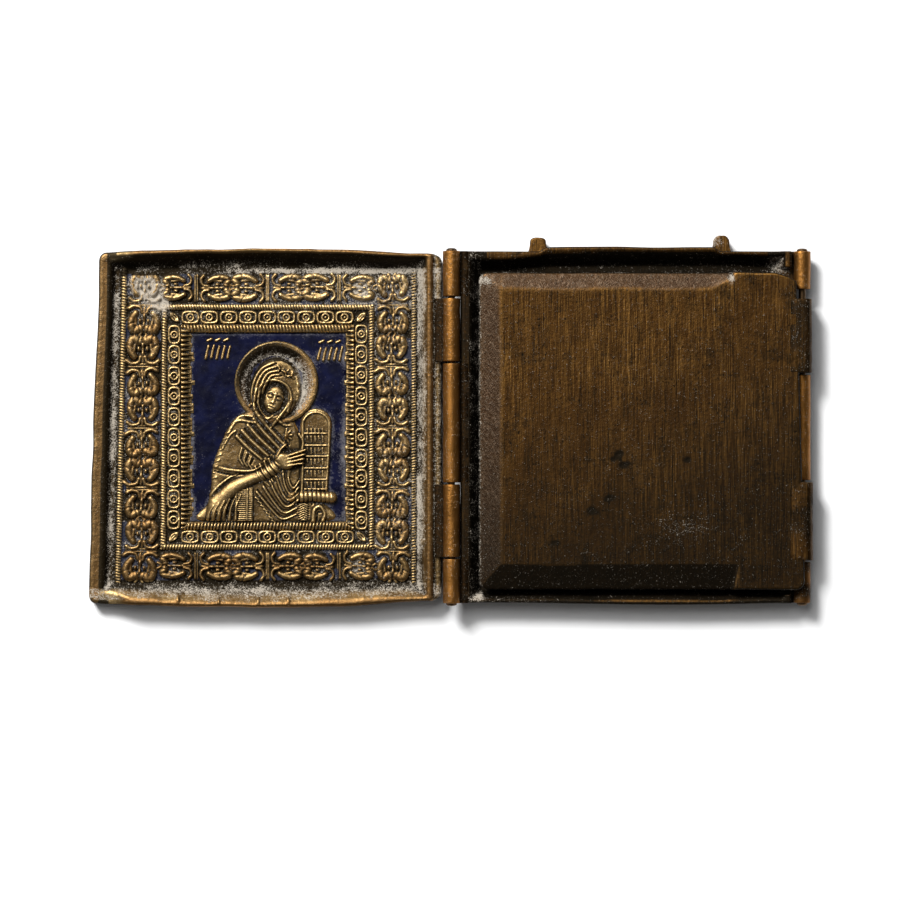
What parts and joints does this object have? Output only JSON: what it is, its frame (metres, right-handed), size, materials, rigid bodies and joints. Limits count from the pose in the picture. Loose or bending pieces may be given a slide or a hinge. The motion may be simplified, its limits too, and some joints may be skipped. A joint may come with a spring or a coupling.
{
  "type": "folding travelling icon triptych",
  "caption": "Pocket-sized folding icon of cast brass: hinged leaves with raised figures, ornamental bands and blue enamel grounds.",
  "frame": {"origin": "middle of the centre leaf's flat back, on the surface that the icon lies on", "axes": "+X across the leaves from the open left leaf towards the right wing, +Y up the icon along its hinges, +Z out of the centre leaf's face"},
  "size_m": [0.1227, 0.0627, 0.006],
  "materials": {
    "aged_brass": "dark aged cast brass, rubbed golden on the high points, with pale dust in the recesses",
    "filed_brass": "dark brown patina over vertical file and brush marks, with filed bevels",
    "pin_brass": "blackened brass wire with hammered ends",
    "enamel": "deep blue vitreous enamel, fused in sunken grounds, glossy, pitted and dusty"
  },
  "bodies": {
    "centre": {"centre_leaf": "filed_brass", "centre_leaf_enamel": "enamel", "left_hinge_pin": "pin_brass", "right_hinge_pin": "pin_brass"},
    "left": {"left_leaf": "aged_brass", "left_leaf_enamel": "enamel"},
    "wing": {"right_wing": "filed_brass", "right_wing_enamel": "enamel"}
  },
  "joints": [
    {"name": "left_hinge", "type": "hinge", "parent": "centre", "child": "left", "pos_m": [-0.02985, 0, 0.00458], "axis": [0, 1, 0], "range_deg": [0, 180]},
    {"name": "right_hinge", "type": "hinge", "parent": "centre", "child": "wing", "pos_m": [0.02985, 0, 0.003], "axis": [0, 1, 0], "range_deg": [0, 180]}
  ]
}
